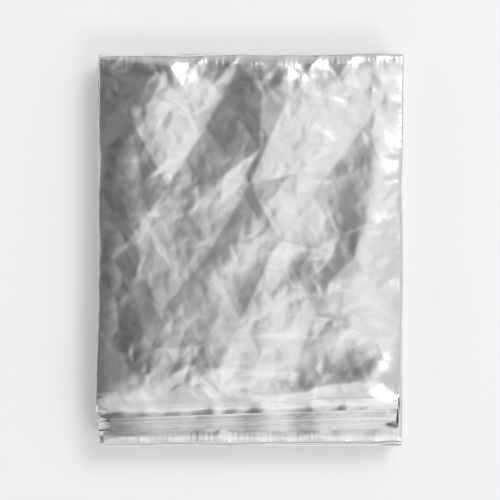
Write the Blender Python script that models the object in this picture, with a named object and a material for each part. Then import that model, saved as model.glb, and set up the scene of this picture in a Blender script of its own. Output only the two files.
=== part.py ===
"""Emergency foil blanket, folded into its flat carrying packet.

The blanket is one cut length of silver metallised polyester film. It is halved once along its
length and four times across its width, which leaves a strip of 32 plies, and that strip is folded
back and forth ten panels deep. The solid is that strip: one ribbon, as thick as its plies and the
air between them, running to and fro with a little air between its panels.

Metres, +Z up. X runs across the packet, Y along it. The packet lies on Z = 0, and the origin is the
middle of its underside.
"""

from collections import namedtuple
from math import cos, pi, sin

import bmesh
import bpy

MM = 0.001

# The film as it is cut, and how often it is halved before the strip is folded back and forth.
FILM_WIDTH = 1320 * MM
FILM_LENGTH = 2096 * MM
WIDTH_HALVINGS = 4
LENGTH_HALVINGS = 1
STRIP_WIDTH = FILM_WIDTH / 2**WIDTH_HALVINGS
STRIP_LENGTH = FILM_LENGTH / 2**LENGTH_HALVINGS

# The strip's plies and the air between them, pressed flat.
LAYER_THICKNESS = 1.0 * MM

# The packet that the strip is folded into, by its nominal half sizes.
HALF_WIDTH = STRIP_WIDTH / 2
HALF_LENGTH = 53.0 * MM

# The folds keep the panels further apart at the packet's ends, fully from here on, and along its
# sides.
END_SWELL = 0.10 * MM
END_SWELL_FROM = 50.5 * MM
END_SWELL_POWER = 4
SIDE_SWELL = 0.05 * MM
SIDE_SWELL_POWER = 6

# The upper free end springs up from the panel under it, one corner more than the other.
LIFT = 1.3 * MM
LIFT_FROM = 8.0 * MM
LIFT_POWER = 2.2
LIFT_LEAN = 0.55

# A row for each end of a panel, in the order in which the strip meets them: its lower free end, the
# nine folds, and its upper free end, which lies where the film runs out. Even rows are at -Y and odd
# rows at +Y. In millimetres: how far the strip reaches from the middle, how much further it reaches
# at +X than at -X, how far it stands off to +X, and the air under the panel that leaves from here.
PanelEnd = namedtuple("PanelEnd", "reach skew shift air")
PANEL_ENDS = (
    PanelEnd(reach=50.6, skew=0.7, shift=0.2, air=0.00),
    PanelEnd(reach=52.7, skew=-0.6, shift=-0.3, air=0.36),
    PanelEnd(reach=53.1, skew=0.5, shift=0.4, air=0.40),
    PanelEnd(reach=53.3, skew=0.8, shift=0.0, air=0.34),
    PanelEnd(reach=52.5, skew=-0.7, shift=-0.5, air=0.46),
    PanelEnd(reach=52.8, skew=0.4, shift=0.3, air=0.38),
    PanelEnd(reach=53.2, skew=0.9, shift=0.6, air=0.35),
    PanelEnd(reach=53.4, skew=-0.5, shift=-0.2, air=0.42),
    PanelEnd(reach=52.8, skew=-0.8, shift=0.3, air=0.37),
    PanelEnd(reach=53.0, skew=0.6, shift=0.5, air=0.48),
    PanelEnd(reach=None, skew=-1.6, shift=-0.4, air=None),
)
PANEL_COUNT = len(PANEL_ENDS) - 1

# How finely the ribbon is divided: across it, along a panel, and round a fold.
ACROSS_STEPS = 8
PANEL_STEPS = 6
FOLD_STEPS = 8

# The long edges of the ribbon are folds of film, so they are rounded.
EDGE_ROUND = 0.3 * MM
EDGE_ROUND_STEPS = 2
EDGE_ANGLE = pi / 3

FOIL_COLOUR = (0.80, 0.81, 0.82, 1.0)
FOIL_ROUGHNESS = 0.16


def side_of(end):
    """Which end of the packet a row of the table is at: -1 for -Y, 1 for +Y."""
    return -1 if end % 2 == 0 else 1


def swell(x, y):
    """How much further apart two panels lie at (x, y) than in the packet's middle."""
    at_end = END_SWELL * min(1.0, abs(y) / END_SWELL_FROM) ** END_SWELL_POWER
    at_side = SIDE_SWELL * (abs(x) / HALF_WIDTH) ** SIDE_SWELL_POWER
    return at_end + at_side


def free_end_lift(x, y):
    """How far the top panel springs up at (x, y)."""
    past = max(0.0, -y - LIFT_FROM) / (HALF_LENGTH - LIFT_FROM)
    return LIFT * past**LIFT_POWER * (1 + LIFT_LEAN * x / HALF_WIDTH)


def level(panel, x, y):
    """The height of the middle of a panel's thickness at (x, y)."""
    height = LAYER_THICKNESS / 2
    for below in range(1, panel + 1):
        height += LAYER_THICKNESS + PANEL_ENDS[below].air * MM + swell(x, y)
    if panel == PANEL_COUNT - 1:
        height += free_end_lift(x, y)
    return height


def reach(end, x):
    """How far the strip reaches from the packet's middle at a free end or a fold."""
    row = PANEL_ENDS[end]
    return (row.reach + row.skew * x / STRIP_WIDTH) * MM


def fold_arc(end, x):
    """The half circle that the middle of the strip's thickness makes at a fold: its centre's y
    and z, and its radius."""
    side = side_of(end)
    low = level(end - 1, x, side * END_SWELL_FROM)
    high = level(end, x, side * END_SWELL_FROM)
    radius = (high - low) / 2
    return side * (reach(end, x) - radius - LAYER_THICKNESS / 2), (low + high) / 2, radius


def line_length(x):
    """The strip's length along one line, from its lower free end to where its last fold ends."""
    centres = [-reach(0, x)] + [fold_arc(end, x)[0] for end in range(1, PANEL_COUNT)]
    runs = sum(abs(b - a) for a, b in zip(centres, centres[1:]))
    bends = sum(pi * fold_arc(end, x)[2] for end in range(1, PANEL_COUNT))
    return runs + bends


def upper_free_end(x):
    """The y at which the film runs out on top of the packet."""
    last_fold = fold_arc(PANEL_COUNT - 1, x)[0]
    skew = PANEL_ENDS[-1].skew * MM * x / STRIP_WIDTH
    return last_fold - (STRIP_LENGTH - line_length(0.0)) - skew


def strip_line(x):
    """(share of the way along its panel, panel, y, z) of each point along the strip at x, from the
    lower free end to the upper one."""
    points = []
    start = -reach(0, x)
    for panel in range(PANEL_COUNT):
        last = panel == PANEL_COUNT - 1
        stop = upper_free_end(x) if last else fold_arc(panel + 1, x)[0]
        for step in range(PANEL_STEPS + 1):
            share = step / PANEL_STEPS
            y = start + (stop - start) * share
            points.append((panel, share, y, level(panel, x, y)))
        if last:
            return points
        centre_y, centre_z, radius = fold_arc(panel + 1, x)
        for step in range(1, FOLD_STEPS):
            turn = pi * step / FOLD_STEPS - pi / 2
            y = centre_y + side_of(panel + 1) * radius * cos(turn)
            points.append((panel, 1.0, y, centre_z + radius * sin(turn)))
        start = stop


def side_shift(panel, share):
    """How far the strip stands off to +X on its way along a panel."""
    here, there = PANEL_ENDS[panel].shift, PANEL_ENDS[panel + 1].shift
    return (here + (there - here) * share) * MM


def centre_on_origin(ribbon):
    """Move the folded strip so that its outline is centred on X = 0 and Y = 0."""
    offset = [0.0, 0.0, 0.0]
    for axis in (0, 1):
        places = [vert.co[axis] for vert in ribbon.verts]
        offset[axis] = -(min(places) + max(places)) / 2
    bmesh.ops.translate(ribbon, verts=ribbon.verts, vec=offset)


def foil_material():
    material = bpy.data.materials.new("foil_film")
    material.use_nodes = True
    shader = material.node_tree.nodes["Principled BSDF"]
    shader.inputs["Base Color"].default_value = FOIL_COLOUR
    shader.inputs["Metallic"].default_value = 1.0
    shader.inputs["Roughness"].default_value = FOIL_ROUGHNESS
    return material


def folded_strip():
    """The strip's middle surface, folded back and forth, and thickened into the ribbon."""
    mesh = bpy.data.meshes.new("foil_blanket")
    ribbon = bmesh.new()
    columns = []
    for step in range(ACROSS_STEPS + 1):
        x = -HALF_WIDTH + STRIP_WIDTH * step / ACROSS_STEPS
        columns.append(
            [
                ribbon.verts.new((x + side_shift(panel, share), y, z))
                for panel, share, y, z in strip_line(x)
            ]
        )
    for left, right in zip(columns, columns[1:]):
        for row in range(len(left) - 1):
            ribbon.faces.new((left[row], right[row], right[row + 1], left[row + 1]))
    centre_on_origin(ribbon)
    bmesh.ops.recalc_face_normals(ribbon, faces=ribbon.faces)
    ribbon.to_mesh(mesh)
    ribbon.free()
    blanket = bpy.data.objects.new("foil_blanket", mesh)
    bpy.context.scene.collection.objects.link(blanket)

    thickness = blanket.modifiers.new("plies", "SOLIDIFY")
    thickness.thickness = LAYER_THICKNESS
    thickness.offset = 0.0
    thickness.use_even_offset = True
    rounding = blanket.modifiers.new("folded edges", "BEVEL")
    rounding.limit_method = "ANGLE"
    rounding.angle_limit = EDGE_ANGLE
    rounding.width = EDGE_ROUND
    rounding.segments = EDGE_ROUND_STEPS
    return blanket


for leftover in list(bpy.data.objects):
    bpy.data.objects.remove(leftover, do_unlink=True)
foil_blanket = folded_strip()
foil_blanket.data.materials.append(foil_material())
foil_blanket.data.shade_smooth()
foil_blanket.data.set_sharp_from_angle(angle=EDGE_ANGLE)
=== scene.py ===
from collections import namedtuple
from math import cos, pi, radians, sin

import bmesh
import bpy
import numpy as np
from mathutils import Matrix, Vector
from mathutils.bvhtree import BVHTree
from mathutils.geometry import delaunay_2d_cdt


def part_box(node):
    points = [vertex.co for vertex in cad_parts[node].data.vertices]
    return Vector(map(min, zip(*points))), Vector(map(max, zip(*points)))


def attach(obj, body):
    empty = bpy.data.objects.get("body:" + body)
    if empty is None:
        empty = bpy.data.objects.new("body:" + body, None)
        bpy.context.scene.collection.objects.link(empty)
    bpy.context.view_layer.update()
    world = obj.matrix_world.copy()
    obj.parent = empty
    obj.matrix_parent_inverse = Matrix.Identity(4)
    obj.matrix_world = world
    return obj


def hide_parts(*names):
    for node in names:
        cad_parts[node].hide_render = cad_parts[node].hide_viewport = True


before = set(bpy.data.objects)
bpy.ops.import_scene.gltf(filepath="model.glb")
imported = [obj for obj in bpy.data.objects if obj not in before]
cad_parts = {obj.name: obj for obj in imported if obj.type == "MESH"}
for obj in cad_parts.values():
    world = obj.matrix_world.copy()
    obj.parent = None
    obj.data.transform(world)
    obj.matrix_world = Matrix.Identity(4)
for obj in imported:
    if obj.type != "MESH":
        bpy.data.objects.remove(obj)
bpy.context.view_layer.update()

MM = 0.001


# The camera. The photograph looks square at its subject, so the camera looks straight down on the
# packet, from far off with a long lens. The packet's length runs up the picture.
PACKET_SHARE_OF_HEIGHT = 0.80
LENS_MM = 110
SENSOR_MM = 36

packet_low, packet_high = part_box("foil_blanket")
packet_length = packet_high.y - packet_low.y
camera_rise = packet_length / PACKET_SHARE_OF_HEIGHT * LENS_MM / SENSOR_MM

bpy.ops.object.camera_add(location=(0, 0, packet_high.z + camera_rise), rotation=(0, 0, 0))
camera = bpy.context.object
camera.name = "square_on_camera"
camera.data.lens = LENS_MM
camera.data.sensor_width = SENSOR_MM
bpy.context.scene.camera = camera


# The blanket: one cut length of polyester film, 0.012 mm thick, metallised to a silver mirror. It
# has no hem and nothing is sewn to it. It is cut flat here, and each point of it is then carried
# through the maker's folds, into the place of the folded solid.
FILM_WIDTH = 1320 * MM
FILM_LENGTH = 2096 * MM
SEGMENTS = 16
STRIP_WIDTH = FILM_WIDTH / SEGMENTS
HALF_WIDTH = STRIP_WIDTH / 2
HALF_LENGTH = 53.0 * MM

# The film is halved along its length a little off its middle, so its two cut ends don't meet.
MIDDLE_FOLD = FILM_LENGTH / 2 - 1.7 * MM

# The strip of 32 plies with the air between them, and what its folds do to the packet, in the
# folded solid's own sizes. Even ends are at -Y and odd ones at +Y.
PLIES = 2 * SEGMENTS
PLIES_THICKNESS = 1.0 * MM
END_SWELL = 0.10 * MM
END_SWELL_FROM = 50.5 * MM
END_SWELL_POWER = 4
SIDE_SWELL = 0.05 * MM
LIFT = 1.3 * MM
LIFT_FROM = 8.0 * MM
LIFT_POWER = 2.2
LIFT_LEAN = 0.55

PanelEnd = namedtuple("PanelEnd", "reach skew shift air")
PANEL_ENDS = (
    PanelEnd(reach=50.6, skew=0.7, shift=0.2, air=0.00),
    PanelEnd(reach=52.7, skew=-0.6, shift=-0.3, air=0.36),
    PanelEnd(reach=53.1, skew=0.5, shift=0.4, air=0.40),
    PanelEnd(reach=53.3, skew=0.8, shift=0.0, air=0.34),
    PanelEnd(reach=52.5, skew=-0.7, shift=-0.5, air=0.46),
    PanelEnd(reach=52.8, skew=0.4, shift=0.3, air=0.38),
    PanelEnd(reach=53.2, skew=0.9, shift=0.6, air=0.35),
    PanelEnd(reach=53.4, skew=-0.5, shift=-0.2, air=0.42),
    PanelEnd(reach=52.8, skew=-0.8, shift=0.3, air=0.37),
    PanelEnd(reach=53.0, skew=0.6, shift=0.5, air=0.48),
    PanelEnd(reach=None, skew=-1.6, shift=-0.4, air=None),
)
PANELS = len(PANEL_ENDS) - 1
TOP_PANEL = PANELS - 1

# No panel lies quite flat. It rises and sinks by so much, evenly from one knot to the next, and the
# knots lie where the inner plies have their points.
PANEL_UNEVEN = 0.10 * MM
LAST_KNOT = 47.3 * MM
KNOTS_ACROSS = HALF_WIDTH * np.array((-1, -1 / 3, 1 / 3, 1))
KNOTS_ALONG = LAST_KNOT * np.array((-1, -0.5, 0, 0.5, 1))

# What an uneven line is made of: for each of its waves, how often it comes in a wavelength, and its
# share of the height.
WAVES = ((1.0, 0.55), (1.7, 0.30), (2.9, 0.15))


def way(number):
    """1 for an odd number and -1 for an even one: the side that an end lies on, or the way that a
    panel faces."""
    return 2 * (number % 2) - 1


def waver(along, wavelength, seed):
    """A smooth uneven line, between -1 and 1, that wavers about once in a wavelength."""
    draw = np.random.default_rng(seed)
    total = 0
    for often, share in WAVES:
        phase = draw.uniform(0, 2 * pi)
        total = total + share * np.sin(2 * pi * along * often / wavelength + phase)
    return total


def swell(x, y):
    """How much further apart two panels lie at (x, y) than in the packet's middle."""
    knots = np.append(KNOTS_ALONG[KNOTS_ALONG >= 0], END_SWELL_FROM)
    at_end = np.interp(np.abs(y), knots, (knots / END_SWELL_FROM) ** END_SWELL_POWER)
    at_side = np.interp(np.abs(x), KNOTS_ACROSS[KNOTS_ACROSS > 0], (0, 1))
    return END_SWELL * at_end + SIDE_SWELL * at_side


def free_end_lift(x, y):
    """How far the top panel springs up at (x, y)."""
    past = np.maximum(0, -y - LIFT_FROM) / (HALF_LENGTH - LIFT_FROM)
    return LIFT * past**LIFT_POWER * (1 + LIFT_LEAN * x / HALF_WIDTH)


def unevenness(panel, x, y):
    """How a panel lies at (x, y), from -1 where it is lowest to 1."""
    draw = np.random.default_rng(seed=200 + panel)
    at_knots = draw.uniform(-1, 1, (len(KNOTS_ALONG), len(KNOTS_ACROSS)))
    x, y = np.broadcast_arrays(x, y)
    across = np.array([np.interp(x, KNOTS_ACROSS, line) for line in at_knots])
    knot = np.interp(y, KNOTS_ALONG, range(len(KNOTS_ALONG)))
    before = np.minimum(knot.astype(int), len(KNOTS_ALONG) - 2)
    share = knot - before
    point = np.arange(len(x))
    return across[before, point] * (1 - share) + across[before + 1, point] * share


def level(panel, x, y):
    """The height of the middle of a panel's plies, before the free end springs up."""
    height = PLIES_THICKNESS / 2
    for below in range(1, panel + 1):
        height = height + PLIES_THICKNESS + PANEL_ENDS[below].air * MM + swell(x, y)
    if panel:
        height = height + PANEL_UNEVEN * unevenness(panel, x, y)
    return height


def reach(end, x):
    """How far the strip reaches from the packet's middle at a free end or a fold."""
    row = PANEL_ENDS[end]
    return (row.reach + row.skew * x / STRIP_WIDTH) * MM


def fold_arc(end, x):
    """The half circle that the middle ply makes at a fold: its centre's y and z, and its radius."""
    side = way(end)
    low = level(end - 1, x, side * END_SWELL_FROM)
    high = level(end, x, side * END_SWELL_FROM)
    radius = (high - low) / 2
    return side * (reach(end, x) - radius - PLIES_THICKNESS / 2), (low + high) / 2, radius


def panel_start(panel, x):
    """The y at which a panel begins, seen from the strip's lower free end."""
    return fold_arc(panel, x)[0] if panel else -reach(0, x)


# How much of the strip's length each panel and each fold takes, from the lower free end upwards.
middle = np.zeros(1)
starts = [panel_start(panel, middle).item() for panel in range(PANELS)]
runs = [abs(there - here) for here, there in zip(starts, starts[1:])]
bends = [pi * fold_arc(end, middle)[2].item() for end in range(1, PANELS)]
runs.append(FILM_LENGTH / 2 - sum(runs) - sum(bends))
panel_from = [sum(runs[:panel]) + sum(bends[:panel]) for panel in range(PANELS)]
panel_to = [start + run for start, run in zip(panel_from, runs)]

# The film's width is halved four times, and each halving turns the right half over onto the left
# one. That gives the order in which the strip's segments lie, from bottom to top.
piles = [[segment] for segment in range(SEGMENTS)]
while len(piles) > 1:
    half = len(piles) // 2
    piles = [under + over[::-1] for under, over in zip(piles[:half], reversed(piles[half:]))]
BOTTOM_SEGMENT, TOP_SEGMENT = piles[0][0], piles[0][-1]
place = np.array([piles[0].index(segment) for segment in range(SEGMENTS)])


def ply_height(segment, second_half):
    """A ply's height above the middle of the strip's thickness, with the strip's top up."""
    upper = np.where(segment % 2 == 0, second_half, 1 - second_half)
    return PLIES_THICKNESS * ((2 * place[segment] + upper) / (PLIES - 1) - 0.5)


# Where the flat plies stop at each line along the film: the two cut edges, and the creases between
# them, which nest inside one another.
CREASE_TAKES = 0.5 * MM
CREASE_SPREAD = 0.05 * MM
CUT_EDGE_SHORT = 1.6 * MM
OUTERMOST = SEGMENTS // 2 - 1


def creases_inside(line):
    """How many other creases lie nested in the one along a line."""
    return (abs(place[line] - place[line - 1]) - 1) // 2


line_x = []
for line in range(SEGMENTS + 1):
    inset = CUT_EDGE_SHORT
    if 0 < line < SEGMENTS:
        inset = PLIES_THICKNESS / 2 + CREASE_SPREAD * (OUTERMOST - creases_inside(line))
    line_x.append(way(line) * (HALF_WIDTH - inset))
line_x = np.array(line_x)


def folded_across(u, second_half):
    """Each point's place across the strip, and its height in the strip's thickness."""
    segment = np.clip((u / STRIP_WIDTH).astype(int), 0, SEGMENTS - 1)
    share = (u - segment * STRIP_WIDTH - CREASE_TAKES) / (STRIP_WIDTH - 2 * CREASE_TAKES)
    flat_x = line_x[segment] + (line_x[segment + 1] - line_x[segment]) * np.clip(share, 0, 1)

    line = np.clip(np.rint(u / STRIP_WIDTH).astype(int), 1, SEGMENTS - 1)
    share = (u - line * STRIP_WIDTH) / CREASE_TAKES
    turn = pi / 2 * (1 + share)
    here, there = ply_height(line - 1, second_half), ply_height(line, second_half)
    crease_x = line_x[line] + way(line) * np.abs(there - here) / 2 * np.sin(turn)
    crease_t = (here + there) / 2 + (here - there) / 2 * np.cos(turn)

    in_crease = np.abs(share) < 1
    flat_t = ply_height(segment, second_half)
    return np.where(in_crease, crease_x, flat_x), np.where(in_crease, crease_t, flat_t)


# Where the film has its points. First a few to each segment and crease across it, and a few to each
# panel and fold along it.
SEGMENT_STEPS = 3
OUTER_SEGMENT_STEPS = 12
CREASE_STEPS = 4
OUTER_CREASE_STEPS = 8
PANEL_STEPS = 8
HIDDEN_PANEL_STEPS = 4
FACE_STEPS = 12
BELOW_FACE_STEPS = 9
FOLD_STEPS = 6
NEAR_FOLD = (1.5 * MM, 4.5 * MM)


def evenly(start, stop, count):
    """So many places from start on, without stop."""
    return list(np.linspace(start, stop, count, endpoint=False))


columns = []
for segment in range(SEGMENTS):
    outer = segment in (BOTTOM_SEGMENT, TOP_SEGMENT)
    first = segment * STRIP_WIDTH + (CREASE_TAKES if segment else 0)
    last = (segment + 1) * STRIP_WIDTH - CREASE_TAKES
    if segment == SEGMENTS - 1:
        columns += evenly(first, FILM_WIDTH, SEGMENT_STEPS) + [FILM_WIDTH]
        break
    columns += evenly(first, last, OUTER_SEGMENT_STEPS if outer else SEGMENT_STEPS)
    outer = creases_inside(segment + 1) == OUTERMOST
    columns += evenly(last, last + 2 * CREASE_TAKES, OUTER_CREASE_STEPS if outer else CREASE_STEPS)


def along_strip(panel_steps, top_steps, strip_end):
    """Where a half of the film has its points on its way from the middle fold to its cut end."""
    stations = []
    for panel in range(TOP_PANEL):
        start = panel_from[panel] + (NEAR_FOLD[-1] if panel else 0)
        stop = panel_to[panel] - NEAR_FOLD[-1]
        if panel:
            stations += [panel_from[panel], panel_from[panel] + NEAR_FOLD[0]]
        stations += evenly(start, stop, panel_steps) + [stop, panel_to[panel] - NEAR_FOLD[0]]
        stations += evenly(panel_to[panel], panel_from[panel + 1], FOLD_STEPS)
    top_from = panel_from[TOP_PANEL] + NEAR_FOLD[-1]
    stations += [panel_from[TOP_PANEL], panel_from[TOP_PANEL] + NEAR_FOLD[0]]
    return stations + evenly(top_from, strip_end, top_steps) + [strip_end]


# The end of a ply that shows past the free end above it, the ragged end of every ply, and how far
# from a cut end the film has more points.
SHOWN_END = 10 * MM
RAGGED_END = 4 * MM
NEAR_CUT = (SHOWN_END, 6.5 * MM, RAGGED_END, 2.2 * MM, 1.0 * MM, 0.4 * MM)
second_end = FILM_LENGTH - MIDDLE_FOLD
first_half_rows = along_strip(PANEL_STEPS, FACE_STEPS, MIDDLE_FOLD)
first_half_rows = sorted(first_half_rows + [MIDDLE_FOLD - near for near in NEAR_CUT])
second_half_rows = along_strip(HIDDEN_PANEL_STEPS, BELOW_FACE_STEPS, second_end)
second_half_rows = sorted(second_half_rows + [second_end - near for near in NEAR_CUT])
rows = [MIDDLE_FOLD - s for s in reversed(first_half_rows[1:])]
rows += [MIDDLE_FOLD - CREASE_TAKES, MIDDLE_FOLD, MIDDLE_FOLD + CREASE_TAKES]
rows += [MIDDLE_FOLD + s for s in second_half_rows[1:]]

# The cut length, flat: X is across the film and Y along it.
points = [(u, v, 0) for v in rows for u in columns]
corners = [
    (row * len(columns) + column, (row + 1) * len(columns) + column)
    for row in range(len(rows) - 1)
    for column in range(len(columns) - 1)
]
blanket_mesh = bpy.data.meshes.new("foil_blanket_film")
blanket_mesh.from_pydata(points, [], [(near, far, far + 1, near + 1) for near, far in corners])
film = bmesh.new()
film.from_mesh(blanket_mesh)


def divide(u_from, u_to, s_from, s_to, across=None, along=None, second_half=False):
    """Cut a patch of the film finer, so that its points are about so far apart."""
    near = 0.01 * MM
    v_from, v_to = sorted((MIDDLE_FOLD + s * (1 if second_half else -1)) for s in (s_from, s_to))
    for axis, spacing in ((0, across), (1, along)):
        if not spacing:
            continue
        by_cuts = {}
        for edge in film.edges:
            a, b = (vert.co for vert in edge.verts)
            if abs(a[1 - axis] - b[1 - axis]) > near:
                continue
            low, high = min(a.x, b.x), max(a.x, b.x)
            if low < u_from - near or high > u_to + near:
                continue
            if min(a.y, b.y) < v_from - near or max(a.y, b.y) > v_to + near:
                continue
            cuts = round(abs(a[axis] - b[axis]) / spacing) - 1
            if cuts > 0:
                by_cuts.setdefault(cuts, []).append(edge)
        for cuts, edges in by_cuts.items():
            bmesh.ops.subdivide_edges(film, edges=edges, cuts=cuts)


# The face is cut finest, with the fold that it comes from. Then come what shows past its free end,
# the cut ends, the underside, the outer plies round the other folds, and the creases that are the
# strip's long edges.
FACE_SPACING = 0.44 * MM
SHOWN_SPACING = 1.1 * MM
CUT_SPACING = 3.4 * MM
FOLD_SPACING = 1.7 * MM
UNDERSIDE_SPACING = 1.9 * MM
SIDE_SPACING = 2.2 * MM
face_from = TOP_SEGMENT * STRIP_WIDTH + CREASE_TAKES
face_to = (TOP_SEGMENT + 1) * STRIP_WIDTH - CREASE_TAKES
lowest_from, lowest_to = 0, STRIP_WIDTH - CREASE_TAKES
before_top_fold = panel_to[TOP_PANEL - 1] - NEAR_FOLD[-1]
before_shown_fold = panel_to[TOP_PANEL - 2] - NEAR_FOLD[-1]
shown_from = panel_from[TOP_PANEL - 1]
shown_to = shown_from + SHOWN_END
divide(face_from, face_to, before_top_fold, MIDDLE_FOLD, across=FACE_SPACING)
divide(face_from, face_to, panel_from[TOP_PANEL], MIDDLE_FOLD, along=FACE_SPACING)
divide(lowest_from, lowest_to, before_shown_fold, shown_to, across=SHOWN_SPACING)
divide(lowest_from, lowest_to, shown_from, shown_to, along=SHOWN_SPACING)
divide(face_from, face_to, second_end - SHOWN_END, second_end, SHOWN_SPACING, SHOWN_SPACING, True)
divide(face_from, face_to, 0, panel_from[1] + NEAR_FOLD[-1], across=UNDERSIDE_SPACING)
divide(face_from, face_to, 0, panel_to[0], along=UNDERSIDE_SPACING)
divide(0, FILM_WIDTH, MIDDLE_FOLD - RAGGED_END, MIDDLE_FOLD, across=CUT_SPACING)
divide(0, FILM_WIDTH, second_end - RAGGED_END, second_end, across=CUT_SPACING, second_half=True)
for end in range(2, TOP_PANEL - 1):
    left, right = (face_from, face_to) if end % 2 else (lowest_from, lowest_to)
    start, stop = panel_to[end - 1] - NEAR_FOLD[-1], panel_from[end] + NEAR_FOLD[-1]
    divide(left, right, start, stop, across=FOLD_SPACING)

# The lines along the film that show as the strip's long edges: a cut edge, and four creases.
SHOWN_LINES = (0, 1, 2, 4, 8)
for line in SHOWN_LINES[1:]:
    left, right = line * STRIP_WIDTH - CREASE_TAKES, line * STRIP_WIDTH + CREASE_TAKES
    divide(left, right, 0, MIDDLE_FOLD, along=SIDE_SPACING)
film.to_mesh(blanket_mesh)
film.free()

flat = np.empty(len(blanket_mesh.vertices) * 3, np.float32)
blanket_mesh.vertices.foreach_get("co", flat)
u, v = flat.reshape(-1, 3)[:, :2].astype(float).T

# The first folds: once along the length, and four times across the width. They give each point its
# place across the strip, x, its height in the strip's thickness, t, and its place along it, s.
turned = np.clip((v - MIDDLE_FOLD) / (2 * CREASE_TAKES) + 0.5, 0, 1)
(first_x, first_t), (second_x, second_t) = folded_across(u, 0), folded_across(u, 1)
x = first_x + (second_x - first_x) * turned
t = first_t + (second_t - first_t) * turned
s = np.abs(v - MIDDLE_FOLD)
s = np.where(s <= CREASE_TAKES, 0, s)
fill = t / PLIES_THICKNESS + 0.5

# The plies that show. The mesh holds each place on the film to within a thousandth of a millimetre.
FLAT_ROUNDING = 0.001 * MM
segment_of = np.clip((u / STRIP_WIDTH).astype(int), 0, SEGMENTS - 1)
first_half = v < MIDDLE_FOLD
uppermost = first_half & (u > face_from - FLAT_ROUNDING) & (u < face_to + FLAT_ROUNDING)
second_uppermost = ~first_half & (segment_of == TOP_SEGMENT)
lowermost = first_half & (segment_of == BOTTOM_SEGMENT)

# The strip's long edges wander. At +X the outermost crease wraps all of the plies, and at -X they
# end in five bundles, each with a place of its own. Small sharp crinkles run across them. What lies
# inside them is set in, clear of the creases that show.
SIDE_WANDER = 0.26 * MM
SIDE_WAVELENGTH = 70 * MM
SIDE_EDGE_POWER = 8
SIDE_CRINKLE = 0.16 * MM
SIDE_CRINKLE_LENGTH = 13 * MM
SIDE_CRINKLE_LEAN = 2.5
LEFT_BUNDLES_FROM = (2, 4, 8, 16)


def crinkles(along, wavelength, seed):
    """Sharp uneven ridges between 0 and 1, about two in a wavelength."""
    return (1 - np.abs(waver(along, wavelength, seed))) ** 2


AT_RIGHT = -1
bundle = np.where(x > 0, AT_RIGHT, np.digitize(fill * (PLIES - 1) + 0.5, LEFT_BUNDLES_FROM))
wander = np.zeros_like(x)
for number in range(AT_RIGHT, len(LEFT_BUNDLES_FROM) + 1):
    here = bundle == number
    outwards = way(number == AT_RIGHT)
    leaning = s[here] + SIDE_CRINKLE_LEAN * t[here]
    crinkled = SIDE_CRINKLE * crinkles(leaning, SIDE_CRINKLE_LENGTH, seed=90 + number)
    wander[here] = SIDE_WANDER * waver(s[here], SIDE_WAVELENGTH, seed=70 + number)
    wander[here] -= outwards * crinkled
shown_line = first_half & np.isin(np.rint(u / STRIP_WIDTH), SHOWN_LINES)
set_in = -np.sign(x) * (SIDE_WANDER + SIDE_CRINKLE)
x_shift = np.where(shown_line, wander, set_in) * np.abs(x / HALF_WIDTH) ** SIDE_EDGE_POWER

# The plies lie closer in one place than in another, most of all along those edges.
PUFF = 0.10
SIDE_PUFF = 0.30
SIDE_PUFF_POWER = 5
PUFF_WAVELENGTH = 38 * MM
puffed = PUFF * waver(s, PUFF_WAVELENGTH, seed=33)
at_side = np.abs(x / HALF_WIDTH) ** SIDE_PUFF_POWER
for side in (-1, 1):
    uneven = (waver(s, PUFF_WAVELENGTH, seed=34 + side) + 1) / 2
    puffed += SIDE_PUFF * uneven * at_side * (x * side > 0)
offset = t * (1 + puffed)

# The outer ply of a fold is gathered into small ridges that die out on the panels next to it, and it
# bulges a little past the plies inside it. It is the strip's upper side at +Y, its lower one at -Y.
PINCH = 0.15 * MM
PINCH_WAVELENGTH = 21 * MM
PINCH_REACH = 3.0 * MM
PINCH_LEAN = 0.8
PINCH_SIDE_POWER = 12
FOLD_BULGE = 0.55 * MM
FOLD_SET_IN = 0.28 * MM
FOLD_WAVELENGTH = 34 * MM
for end in range(1, PANELS):
    outer = uppermost if end % 2 else lowermost
    past = np.maximum(0, np.maximum(panel_to[end - 1] - s, s - panel_from[end]))
    leaning = x + PINCH_LEAN * (s - panel_to[end - 1])
    ridges = PINCH * crinkles(leaning, PINCH_WAVELENGTH, seed=100 + end) * np.exp(-past / PINCH_REACH)
    offset += way(end) * outer * ridges * (1 - np.abs(x / HALF_WIDTH) ** PINCH_SIDE_POWER)

# What lies soft in the face: long low swells and hollows, as broad and soft as the photograph shows.
# In millimetres and degrees, in the packet's own frame.
Swell = namedtuple("Swell", "x y length width height turn")
SWELLS = (
    Swell(x=29, y=-37, length=24, width=4.6, height=0.62, turn=19),
    Swell(x=26, y=-27, length=26, width=5.0, height=-0.34, turn=22),
    Swell(x=33, y=8, length=30, width=5.0, height=0.30, turn=82),
    Swell(x=23, y=16, length=26, width=6.0, height=-0.24, turn=74),
    Swell(x=-33, y=32, length=22, width=6.5, height=0.36, turn=58),
    Swell(x=-23, y=10, length=34, width=7.0, height=-0.26, turn=66),
    Swell(x=-9, y=-4, length=30, width=7.5, height=0.30, turn=48),
    Swell(x=6, y=31, length=30, width=7.0, height=0.28, turn=-24),
    Swell(x=-28, y=-26, length=22, width=6.0, height=0.34, turn=-36),
    Swell(x=4, y=-6, length=16, width=5.5, height=-0.34, turn=14),
)


def swells(x, y):
    """How far the swells and hollows raise the face."""
    total = np.zeros_like(x)
    for row in SWELLS:
        turn = radians(row.turn)
        along = cos(turn) * (x / MM - row.x) + sin(turn) * (y / MM - row.y)
        off = cos(turn) * (y / MM - row.y) - sin(turn) * (x / MM - row.x)
        total += row.height * MM * np.exp(-((along / row.length) ** 2) - (off / row.width) ** 2)
    return total


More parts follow.
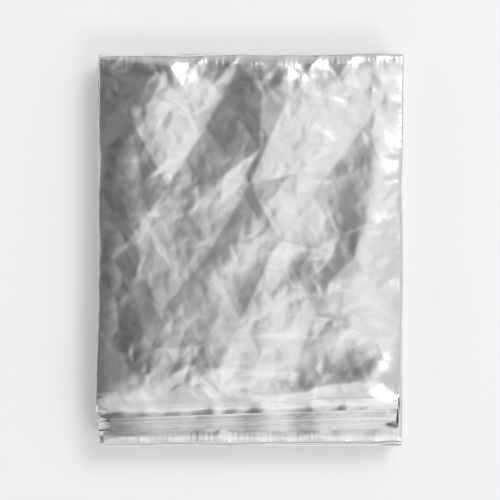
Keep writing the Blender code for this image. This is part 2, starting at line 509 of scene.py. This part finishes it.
def faceted(x, y, corners):
    """The height at each (x, y) of flat facets between corners, which meet in sharp creases."""
    whole_outline, nearest = 0, 1e-7
    flat_corners = [Vector((px, py)) for px, py, _ in corners]
    _, _, triangles, *_ = delaunay_2d_cdt(flat_corners, [], [], whole_outline, nearest, False)
    facets = BVHTree.FromPolygons([Vector(corner) for corner in corners], triangles)
    above, down = 1.0, Vector((0, 0, -1))
    return np.array([facets.ray_cast(Vector((px, py, above)), down)[0].z for px, py in zip(x, y)])


# Its main creases run between these corners, in millimetres.
CREASE_CORNERS = (
    (-60, 70, 0.0), (0, 70, 0.1), (60, 70, 0.0), (-60, 0, 0.1), (60, 10, -0.1),
    (-60, -70, 0.0), (5, -70, 0.0), (60, -70, 0.2),
    (-41, 51, 0.0), (-22, 53, 0.3), (-3, 51, -0.2), (19, 53, 0.2), (41, 51, 0.0),
    (-33, 37, 0.5), (-12, 33, -0.3), (9, 38, 0.5), (31, 34, -0.2),
    (-43, 20, -0.2), (-22, 17, 0.3), (0, 18, 0.1), (17, 15, -0.4), (42, 17, 0.4),
    (-34, 1, 0.4), (-11, -1, -0.3), (8, 3, 0.3), (28, -2, 0.4),
    (-41, -19, -0.2), (-23, -16, 0.2), (-2, -19, 0.4), (18, -17, -0.2), (43, -18, 0.2),
    (-32, -33, -0.3), (-10, -35, 0.3), (12, -33, 0.1), (33, -34, 0.5),
    (-41, -49, 0.2), (-18, -50, -0.2), (3, -49, 0.3), (22, -50, -0.3), (42, -49, 0.2),
)


def creases(x, y):
    """How far the main creases raise the face."""
    return faceted(x, y, [(px * MM, py * MM, height * MM) for px, py, height in CREASE_CORNERS])


# Last the crumple, smaller and smaller facets, which are livelier near the packet's rim. Their cells
# and heights are in millimetres.
Crumple = namedtuple("Crumple", "cell height seed")
CRUMPLES = (
    Crumple(cell=9.5, height=0.32, seed=3),
    Crumple(cell=5.0, height=0.19, seed=5),
    Crumple(cell=2.4, height=0.085, seed=8),
)
CRUMPLE_REACH = 66 * MM
JITTER = 0.46
CALM = 0.5
LIVELY_POWER = 3


def crumple(x, y, row):
    """Facets between corners a cell apart, each moved about in its cell and up or down."""
    draw = np.random.default_rng(row.seed)
    cell = row.cell * MM
    places = np.arange(-CRUMPLE_REACH, CRUMPLE_REACH + cell, cell)
    corners = [
        (
            px + draw.uniform(-JITTER, JITTER) * cell,
            py + draw.uniform(-JITTER, JITTER) * cell,
            draw.normal(0, row.height * MM / 2),
        )
        for px in places
        for py in places
    ]
    return faceted(x, y, corners)


def crumples(x, y):
    """How far the crumple raises the face."""
    rim = np.maximum(np.abs(x / HALF_WIDTH), np.abs(y / HALF_LENGTH)) ** LIVELY_POWER
    return (CALM + (1 - CALM) * rim) * sum(crumple(x, y, row) for row in CRUMPLES)


# The face bags a little over the plies below it, which take a share of that. It comes down to its
# free end, where it waves, and one corner of it curls up.
BAG = 1.0 * MM
BAG_SIDE_POWER = 5
BAG_FROM_FOLD = 12 * MM
BAG_FOLD_POWER = 3
BAG_TO_END = 20 * MM
BAG_AT_END = 0.25
INNER_BAG = 0.45
INNER_WAVE = 0.6
END_WAVE = 0.40 * MM
END_WAVELENGTH = 46 * MM
END_WAVE_STANDS = 0.7
CURL = 0.9 * MM
CURL_REACH = 16 * MM
LEAST_CLEARANCE = 0.12 * MM
TOUCH_SOFTLY = 0.16 * MM
FACE_LEFT, FACE_RIGHT = line_x[TOP_SEGMENT + 1], line_x[TOP_SEGMENT]


def away_from_middle(x):
    """0 in the middle of the face and 1 at the creases along its sides."""
    middle_of_face = (FACE_LEFT + FACE_RIGHT) / 2
    return np.minimum(1, np.abs(x - middle_of_face) / (FACE_RIGHT - middle_of_face))


def at_least(least, height, softness):
    """The greater of two heights, with no edge where the one takes over from the other."""
    return (least + height + np.hypot(least - height, softness)) / 2


def loose_at(x):
    """1 in the middle of the face, and 0 at the creases that hold its sides."""
    return 1 - away_from_middle(x) ** BAG_SIDE_POWER


def nearing(distance, reach_of_it):
    """0 from so far away on, and rising softly to 1 at no distance."""
    return np.clip(1 - distance / reach_of_it, 0, 1) ** 2


def room_to_bag(x, from_fold, to_end):
    """How much of the bag the film has, from 0 at its fold and its sides to 1."""
    at_fold = 1 - np.clip(1 - from_fold / BAG_FROM_FOLD, 0, 1) ** BAG_FOLD_POWER
    at_end = 1 - (1 - BAG_AT_END) * nearing(to_end, BAG_TO_END)
    return loose_at(x) * at_fold * at_end


def end_wave(x, to_end):
    """How far the free end waves up."""
    uneven = waver(x, END_WAVELENGTH, seed=12) + END_WAVE_STANDS
    return END_WAVE * nearing(to_end, BAG_TO_END) * loose_at(x) * uneven


def corner_curl(x, to_end):
    """How far the face's corner at +X curls up."""
    away = np.hypot(FACE_RIGHT - x, np.maximum(0, to_end))
    return CURL * loose_at(x) * np.clip(1 - away / CURL_REACH, 0, 1)


# The film that shows past the free end above it has small wrinkles of its own.
END_CRUMPLES = (Crumple(cell=8.0, height=0.24, seed=14), Crumple(cell=3.4, height=0.12, seed=15))
END_CRUMPLE_RISE = 0.10 * MM
CUT_REACH = 14 * MM


def shown_end_rise(x, y):
    """How far those wrinkles raise the film."""
    small = sum(crumple(x, y, row) for row in END_CRUMPLES)
    sides = 1 - away_from_middle(x) ** PINCH_SIDE_POWER
    return at_least(0, small + END_CRUMPLE_RISE, TOUCH_SOFTLY) * sides


def ply_below_rise(x, y, from_fold, to_end):
    """How far the ply right below the face's film stands off its place in the flat plies."""
    bagged = INNER_BAG * BAG * room_to_bag(x, from_fold, to_end)
    waved = INNER_WAVE * end_wave(x, to_end)
    return bagged + waved + shown_end_rise(x, y) * nearing(to_end, CUT_REACH)


def face_rise(x, y, from_fold, to_end):
    """The same for the face's film, which may not sink into that ply."""
    room = room_to_bag(x, from_fold, to_end)
    wrinkles = swells(x, y) + creases(x, y) + crumples(x, y)
    settled = np.sqrt(np.clip(room, 0, 1))
    free = BAG * room + wrinkles * settled + end_wave(x, to_end) + corner_curl(x, to_end)
    least = ply_below_rise(x, y, from_fold, to_end) + LEAST_CLEARANCE * settled
    return at_least(least, free, TOUCH_SOFTLY * settled)


# The underside rests on the floor. Its film is drawn up here and there, and the plies above it leave
# room for that.
UNDER_CRUMPLES = (Crumple(cell=14.0, height=0.60, seed=24), Crumple(cell=6.5, height=0.26, seed=25))
UNDER_HOLLOW = 0.26 * MM
UNDER_ROOM = 0.42 * MM
UNDER_RIM_POWER = 8


def under_rim(x, y):
    """1 in the middle of the underside and 0 at its rim."""
    return 1 - np.minimum(1, np.hypot(x / HALF_WIDTH, y / HALF_LENGTH) ** UNDER_RIM_POWER)


def underside_hollow(x, y):
    """How far the film of the underside is drawn up."""
    drawn_up = at_least(0, sum(crumple(x, y, row) for row in UNDER_CRUMPLES), TOUCH_SOFTLY)
    return UNDER_HOLLOW * np.tanh(drawn_up / UNDER_HOLLOW) * under_rim(x, y)


# The top panel opens towards its free end into a few bundles of plies, which lie close in each. A row
# says, from the bottom up, how many plies a bundle has, how much of the opening is below it, and how
# far its cut ends stand back, in millimetres. In each they are slanted as well: round the folds the
# upper plies go the longer way, by one fold more than the lower ones.
Bundle = namedtuple("Bundle", "plies opening back")
BUNDLES = (
    Bundle(plies=11, opening=0.05, back=-1.1),
    Bundle(plies=9, opening=0.06, back=-0.4),
    Bundle(plies=6, opening=0.07, back=0.2),
    Bundle(plies=1, opening=0.12, back=0.6),
    Bundle(plies=2, opening=0.09, back=0.5),
    Bundle(plies=3, opening=0.17, back=1.2),
)
PRESSED = 0.3
DROOP = 0.50 * MM
DROOP_REACH = 4.2 * MM
CUT_RIPPLE = 0.30 * MM
CUT_RIPPLE_LENGTH = 34 * MM
CUT_JITTER = 0.30 * MM
CUT_WAVER = 0.5 * MM
CUT_WAVELENGTH = 400 * MM
SLANT = pi * PLIES_THICKNESS
cut_jitter = np.random.default_rng(seed=21).uniform(-CUT_JITTER, CUT_JITTER, SEGMENTS)
plies_in_bundles = [bundle_row.plies for bundle_row in BUNDLES]
openings = np.cumsum([bundle_row.opening for bundle_row in BUNDLES])
opened = np.repeat(openings, plies_in_bundles)
stands_back = np.repeat([bundle_row.back * MM for bundle_row in BUNDLES], plies_in_bundles)

# The nine folds across the strip, which stack its panels. First come the panels, to within a hair of
# their ends, and then the folds between them.
HAIR = 1e-6 * MM
y, z = np.zeros_like(x), np.zeros_like(x)
for panel in range(PANELS):
    on = s >= panel_from[panel] - HAIR
    if panel < TOP_PANEL:
        on &= s <= panel_to[panel] + HAIR
    along = s[on] - panel_from[panel]
    share = along / runs[panel]
    start = panel_start(panel, x[on])
    if panel < TOP_PANEL:
        stop = panel_start(panel + 1, x[on])
    else:
        stop = start - runs[panel] - PANEL_ENDS[-1].skew * MM * x[on] / STRIP_WIDTH
        stop -= SLANT * (0.5 - fill[on])
    y[on] = start + (stop - start) * share
    here_x, here_y = x[on], y[on]
    rise = np.zeros_like(along)
    if panel == 0:
        under = uppermost[on]
        rise = UNDER_ROOM * fill[on] * under_rim(here_x, here_y)
        rise[under] = underside_hollow(here_x[under], here_y[under])
        rise += PLIES_THICKNESS / 2 * puffed[on]
    if panel == TOP_PANEL - 1:
        shown = lowermost[on] & (along < SHOWN_END)
        fade = 1 - (along[shown] / SHOWN_END) ** 2
        rise[shown] = shown_end_rise(here_x[shown], here_y[shown]) * fade
    if panel == TOP_PANEL:
        to_end = runs[panel] - along
        near_end = nearing(to_end, CUT_REACH)
        ply = fill[on] * (PLIES - 1)
        uneven = np.interp(ply, range(PLIES), stands_back)
        uneven += np.interp(u[on] / STRIP_WIDTH - 0.5, range(SEGMENTS), cut_jitter)
        uneven += CUT_WAVER * waver(u[on], CUT_WAVELENGTH, seed=31)
        y[on] += near_end * uneven
        rise = free_end_lift(here_x, here_y) * np.interp(ply, range(PLIES), opened)
        rise -= (1 - PRESSED) * PLIES_THICKNESS * fill[on] * near_end
        drooping = DROOP - CUT_RIPPLE * crinkles(here_x, CUT_RIPPLE_LENGTH, seed=55)
        rise -= drooping * nearing(to_end, DROOP_REACH)
        second, face = second_uppermost[on], uppermost[on]
        inner = ~second & ~face
        room = room_to_bag(here_x[inner], along[inner], to_end[inner])
        rise[inner] += INNER_BAG * BAG * room * fill[on][inner]
        rise[second] += ply_below_rise(here_x[second], here_y[second], along[second], to_end[second])
        rise[face] += face_rise(here_x[face], here_y[face], along[face], to_end[face])
    z[on] = level(panel, here_x, here_y) + way(panel) * offset[on] + rise
    here, there = PANEL_ENDS[panel].shift, PANEL_ENDS[panel + 1].shift
    x_shift[on] += (here + (there - here) * share) * MM

for end in range(1, PANELS):
    on = (s > panel_to[end - 1] + HAIR) & (s < panel_from[end] - HAIR)
    share = (s[on] - panel_to[end - 1]) / bends[end - 1]
    centre_y, centre_z, radius = fold_arc(end, x[on])
    radius = radius + way(end) * offset[on]
    outer = (uppermost if end % 2 else lowermost)[on]
    loose = outer * (1 - np.abs(x[on] / HALF_WIDTH) ** PINCH_SIDE_POWER)
    uneven = (1 + waver(x[on], FOLD_WAVELENGTH, seed=40 + end)) / 2
    bulge = FOLD_BULGE * loose * uneven - FOLD_SET_IN
    y[on] = centre_y + way(end) * (radius + bulge) * np.sin(pi * share)
    z[on] = centre_z - radius * np.cos(pi * share)
    x_shift[on] += PANEL_ENDS[end].shift * MM

x += x_shift
z = np.maximum(z, 0)

# The packet's outline is centred as the solid's is.
x -= (x.min() + x.max()) / 2 - (packet_low.x + packet_high.x) / 2
y -= (y.min() + y.max()) / 2 - (packet_low.y + packet_high.y) / 2
blanket_mesh.vertices.foreach_set("co", np.stack((x, y, z), 1).astype(np.float32).ravel())
blanket_mesh.update()
blanket_mesh.shade_smooth()

# What the finish follows: how near each point is to a fold across the strip and to a crease along
# it, and whether a sharp edge of the face's crumple runs through it.
FOLD_MARK = 3.5 * MM
CREASE_MARK = 1.6 * MM
EDGE_STANDS_OUT = 0.012 * MM
fold_middles = np.array([(stop + start) / 2 for stop, start in zip(panel_to, panel_from[1:])])
to_fold = np.abs(s[:, None] - fold_middles).min(1)
to_crease = np.abs((u / STRIP_WIDTH + 0.5) % 1 - 0.5) * STRIP_WIDTH

edge_ends = np.empty(len(blanket_mesh.edges) * 2, np.int32)
blanket_mesh.edges.foreach_get("vertices", edge_ends)
edge_from, edge_to = edge_ends.reshape(-1, 2).T
near_sum, near_count = np.zeros_like(z), np.zeros_like(z)
for here, there in ((edge_from, edge_to), (edge_to, edge_from)):
    np.add.at(near_sum, here, z[there])
    np.add.at(near_count, here, 1)
stands_out = np.abs(near_sum / near_count - z) * uppermost

for name, values in (
    ("end_fold", np.exp(-((to_fold / FOLD_MARK) ** 2))),
    ("side_crease", np.exp(-((to_crease / CREASE_MARK) ** 2))),
    ("facet_edge", np.clip(stands_out / EDGE_STANDS_OUT, 0, 1)),
):
    attribute = blanket_mesh.attributes.new(name, "FLOAT", "POINT")
    attribute.data.foreach_set("value", values.astype(np.float32))

# The film's own coordinates in metres, for its finish, and a map that gives the face most room.
FACE_SHARE_ACROSS = 0.62
FACE_SHARE_ALONG = 0.66
corner_points = np.empty(len(blanket_mesh.loops), np.int32)
blanket_mesh.loops.foreach_get("vertex_index", corner_points)


def add_map(name, across_film, along_film):
    """A map of the film, from two coordinates of each point."""
    layer = blanket_mesh.uv_layers.new(name=name)
    pairs = np.stack((across_film, along_film), 1)[corner_points]
    layer.uv.foreach_set("vector", pairs.astype(np.float32).ravel())


def widened(values, start, stop, total, share):
    """Places from 0 to 1 along the film, of which its stretch from start to stop has a share."""
    before = (1 - share) * start / (total - (stop - start))
    return np.interp(values, (0, start, stop, total), (0, before, before + share, 1))


add_map("film", u, v)
add_map(
    "OFBake",
    widened(u, face_from, face_to, FILM_WIDTH, FACE_SHARE_ACROSS),
    widened(v, 0, MIDDLE_FOLD - panel_from[TOP_PANEL], FILM_LENGTH, FACE_SHARE_ALONG),
)

blanket = bpy.data.objects.new("foil_blanket_film", blanket_mesh)
bpy.context.scene.collection.objects.link(blanket)


class Value:
    """A socket of the node tree in hand, on which sums are written as in Python."""

    tree = None

    def __init__(self, socket):
        self.socket = socket

    @staticmethod
    def set_stops(ramp, stops):
        """Give a ramp its stops, each a place and a grey, with soft steps between them."""
        ramp.interpolation = "EASE"
        for place_of_stop, _ in stops[2:]:
            ramp.elements.new(place_of_stop)
        for element, (place_of_stop, grey) in zip(ramp.elements, stops):
            element.position = place_of_stop
            element.color = (grey, grey, grey, 1)

    @classmethod
    def node(cls, kind, settings=(), **sockets):
        """A node, with its settings made first, and its sockets by name or as i0, i1 and so on."""
        made = cls.tree.nodes.new(kind)
        for name, setting in dict(settings).items():
            if name == "stops":
                cls.set_stops(made.color_ramp, setting)
            else:
                setattr(made, name, setting)
        for name, value in sockets.items():
            numbered = name[1:].isdigit()
            socket = made.inputs[int(name[1:]) if numbered else name.replace("_", " ")]
            if isinstance(value, Value):
                cls.tree.links.new(value.socket, socket)
            else:
                socket.default_value = value
        return made

    @classmethod
    def maths(cls, operation, *values):
        """A sum on sockets and numbers."""
        numbered = {f"i{number}": value for number, value in enumerate(values)}
        return cls(cls.node("ShaderNodeMath", {"operation": operation}, **numbered).outputs[0])

    def __add__(self, other):
        return self.maths("ADD", self, other)

    def __sub__(self, other):
        return self.maths("SUBTRACT", self, other)

    def __rsub__(self, other):
        return self.maths("SUBTRACT", other, self)

    def __mul__(self, other):
        return self.maths("MULTIPLY", self, other)

    __radd__ = __add__
    __rmul__ = __mul__


def marked(name):
    """What the film's points have noted under a name."""
    return Value(Value.node("ShaderNodeAttribute", {"attribute_name": name}).outputs["Fac"])


def film_noise(across_scale, along_scale, detail, kind="FBM", roughness=0.5, distortion=0.0):
    """Noise on the film's own coordinates, with its features about 1 / scale metres across."""
    film_map = Value(Value.node("ShaderNodeUVMap", {"uv_map": "film"}).outputs["UV"])
    scales = (across_scale, along_scale, 1)
    scaled = Value.node("ShaderNodeVectorMath", {"operation": "MULTIPLY"}, i0=film_map, i1=scales)
    made = Value.node(
        "ShaderNodeTexNoise",
        {"noise_dimensions": "2D", "noise_type": kind},
        Vector=Value(scaled.outputs[0]),
        Scale=1,
        Detail=detail,
        Roughness=roughness,
        Distortion=distortion,
    )
    return Value(made.outputs[0])


# A mirror, a little clouded and rubbed, and worn duller along its folds, creases and sharp edges. Its
# tone and roughness follow each of these by a share, and so does the height of its finest crinkles.
TONE = 0.83
TONE_GREEN = 0.004
TONE_BLUE = 0.010
CLOUD_TONE, RUB_TONE, WEAR_TONE = 0.06, 0.05, 0.06
ROUGHNESS = 0.08
CLOUD_ROUGHNESS, RUB_ROUGHNESS, WEAR_ROUGHNESS = 0.07, 0.07, 0.10
WEAR_AT_EDGES = 0.8
WEAR_AT_FOLDS = 0.5
CRINKLE_DEPTH = 0.12 * MM
CRINKLE_SHARE, FINE_SHARE, FOLD_SHARE, CREASE_SHARE = 0.35, 0.06, 0.35, 0.4


def silver_foil():
    """The film's finish, alike on both sides."""
    material = bpy.data.materials.new("silver_foil")
    material.use_nodes = True
    Value.tree = material.node_tree
    shader = material.node_tree.nodes["Principled BSDF"]
    end_folds = marked("end_fold")
    side_creases = marked("side_crease")
    facet_edges = marked("facet_edge")

    clouds = film_noise(across_scale=45, along_scale=30, detail=3)
    rubbed = film_noise(across_scale=260, along_scale=260, detail=4)
    folds = Value.maths("MAXIMUM", end_folds, side_creases)
    worn = Value.maths("MAXIMUM", facet_edges * WEAR_AT_EDGES, folds * WEAR_AT_FOLDS)
    tone = TONE + clouds * CLOUD_TONE + rubbed * RUB_TONE - worn * WEAR_TONE
    colour = Value.node(
        "ShaderNodeCombineColor", Red=tone, Green=tone + TONE_GREEN, Blue=tone + TONE_BLUE
    )
    material.node_tree.links.new(colour.outputs[0], shader.inputs["Base Color"])

    roughness = ROUGHNESS + clouds * CLOUD_ROUGHNESS + rubbed * RUB_ROUGHNESS
    roughness = roughness + worn * WEAR_ROUGHNESS
    material.node_tree.links.new(roughness.socket, shader.inputs["Roughness"])
    shader.inputs["Metallic"].default_value = 1

    ridged = "RIDGED_MULTIFRACTAL"
    crinkle = film_noise(
        across_scale=170, along_scale=150, detail=5, kind=ridged, roughness=0.45, distortion=0.3
    )
    fine = film_noise(across_scale=700, along_scale=640, detail=3)
    over_folds = film_noise(
        across_scale=620, along_scale=60, detail=3, kind=ridged, distortion=0.2
    )
    over_creases = film_noise(
        across_scale=70, along_scale=520, detail=3, kind=ridged, distortion=0.2
    )
    height = crinkle * CRINKLE_SHARE + fine * FINE_SHARE
    height = height + over_folds * end_folds * FOLD_SHARE
    height = height + over_creases * side_creases * CREASE_SHARE
    bump = Value.node("ShaderNodeBump", Strength=1, Distance=CRINKLE_DEPTH, Height=height)
    material.node_tree.links.new(bump.outputs[0], shader.inputs["Normal"])
    return material


blanket_mesh.materials.append(silver_foil())
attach(blanket, "root")
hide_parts("foil_blanket")


# The floor: a plain white studio table, lit a little from below, and wide enough for every view.
FLOOR_SIZE = 30.0
FLOOR_DROP = 0.05 * MM
FLOOR_TONE = 0.95
FLOOR_ROUGHNESS = 0.9
FLOOR_GLOW = 0.09
bpy.ops.mesh.primitive_plane_add(size=FLOOR_SIZE, location=(0, 0, -FLOOR_DROP))
floor = bpy.context.object
floor.name = "studio_floor"
floor_material = bpy.data.materials.new("white_table")
floor_material.use_nodes = True
floor_shader = floor_material.node_tree.nodes["Principled BSDF"]
floor_shader.inputs["Base Color"].default_value = (FLOOR_TONE, FLOOR_TONE, FLOOR_TONE, 1)
floor_shader.inputs["Emission Color"].default_value = (1, 1, 1, 1)
floor_shader.inputs["Emission Strength"].default_value = FLOOR_GLOW
floor_shader.inputs["Roughness"].default_value = FLOOR_ROUGHNESS
floor.data.materials.append(floor_material)


# The light: two soft boxes, and a room that the foil mirrors. A box or a patch of the room is placed
# by its bearing from +X and its height above the horizon, in degrees. The room is darker in some
# directions than in others, as the foil needs to show its folds.
SoftBox = namedtuple("SoftBox", "name bearing height distance width length glow")
SOFT_BOXES = (
    SoftBox(name="key", bearing=48, height=58, distance=1.2, width=0.55, length=0.45, glow=5.2),
    SoftBox(name="fill", bearing=-52, height=55, distance=1.3, width=0.40, length=0.36, glow=4.2),
)


def direction(bearing, height):
    """A step of one metre towards a bearing and a height."""
    bearing, height = radians(bearing), radians(height)
    return Vector((cos(bearing) * cos(height), sin(bearing) * cos(height), sin(height)))


for box in SOFT_BOXES:
    place_of_box = box.distance * direction(box.bearing, box.height)
    bpy.ops.object.light_add(type="AREA", location=place_of_box)
    light = bpy.context.object
    light.name = box.name
    light.data.shape = "RECTANGLE"
    light.data.size = box.width
    light.data.size_y = box.length
    light.data.energy = box.glow * pi * box.width * box.length
    light.rotation_euler = place_of_box.to_track_quat("Z", "Y").to_euler()
    light.visible_camera = False

RoomBand = namedtuple("RoomBand", "height glow")
ROOM_BANDS = (
    RoomBand(height=0, glow=0.85),
    RoomBand(height=8, glow=0.76),
    RoomBand(height=15, glow=0.38),
    RoomBand(height=21, glow=0.34),
    RoomBand(height=30, glow=0.74),
    RoomBand(height=40, glow=0.80),
    RoomBand(height=50, glow=0.48),
    RoomBand(height=66, glow=0.45),
    RoomBand(height=90, glow=0.54),
)
RoomPatch = namedtuple("RoomPatch", "bearing height reach glow")
ROOM_PATCHES = (
    RoomPatch(bearing=25, height=66, reach=30, glow=0.20),
    RoomPatch(bearing=150, height=66, reach=30, glow=-0.25),
    RoomPatch(bearing=-78, height=66, reach=26, glow=0.30),
    RoomPatch(bearing=92, height=70, reach=18, glow=-0.12),
    RoomPatch(bearing=35, height=77, reach=13, glow=0.16),
    RoomPatch(bearing=-70, height=76, reach=13, glow=0.16),
    RoomPatch(bearing=190, height=78, reach=13, glow=-0.12),
    RoomPatch(bearing=-135, height=62, reach=24, glow=-0.16),
    RoomPatch(bearing=110, height=33, reach=24, glow=-0.25),
    RoomPatch(bearing=290, height=30, reach=26, glow=-0.20),
    RoomPatch(bearing=200, height=30, reach=26, glow=-0.25),
    RoomPatch(bearing=20, height=30, reach=26, glow=-0.25),
)
world = bpy.data.worlds.new("grey_room")
world.use_nodes = True
Value.tree = world.node_tree
looking = Value(Value.node("ShaderNodeTexCoord").outputs["Generated"])
up = Value(Value.node("ShaderNodeSeparateXYZ", Vector=looking).outputs["Z"])
stops = [(sin(radians(band.height)), band.glow) for band in ROOM_BANDS]
glow = Value(Value.node("ShaderNodeValToRGB", {"stops": stops}, Fac=up).outputs["Color"])
for patch in ROOM_PATCHES:
    middle_of_patch = direction(patch.bearing, patch.height)
    towards = Value.node(
        "ShaderNodeVectorMath", {"operation": "DOT_PRODUCT"}, i0=looking, i1=middle_of_patch
    )
    within = Value.node(
        "ShaderNodeMapRange",
        {"interpolation_type": "SMOOTHERSTEP"},
        Value=Value(towards.outputs["Value"]),
        From_Min=cos(radians(patch.reach)),
        From_Max=1,
        To_Min=0,
        To_Max=patch.glow,
    )
    glow = glow + Value(within.outputs["Result"])
room = world.node_tree.nodes["Background"]
world.node_tree.links.new(glow.socket, room.inputs["Color"])
bpy.context.scene.world = world
bpy.context.scene.view_settings.view_transform = "Standard"
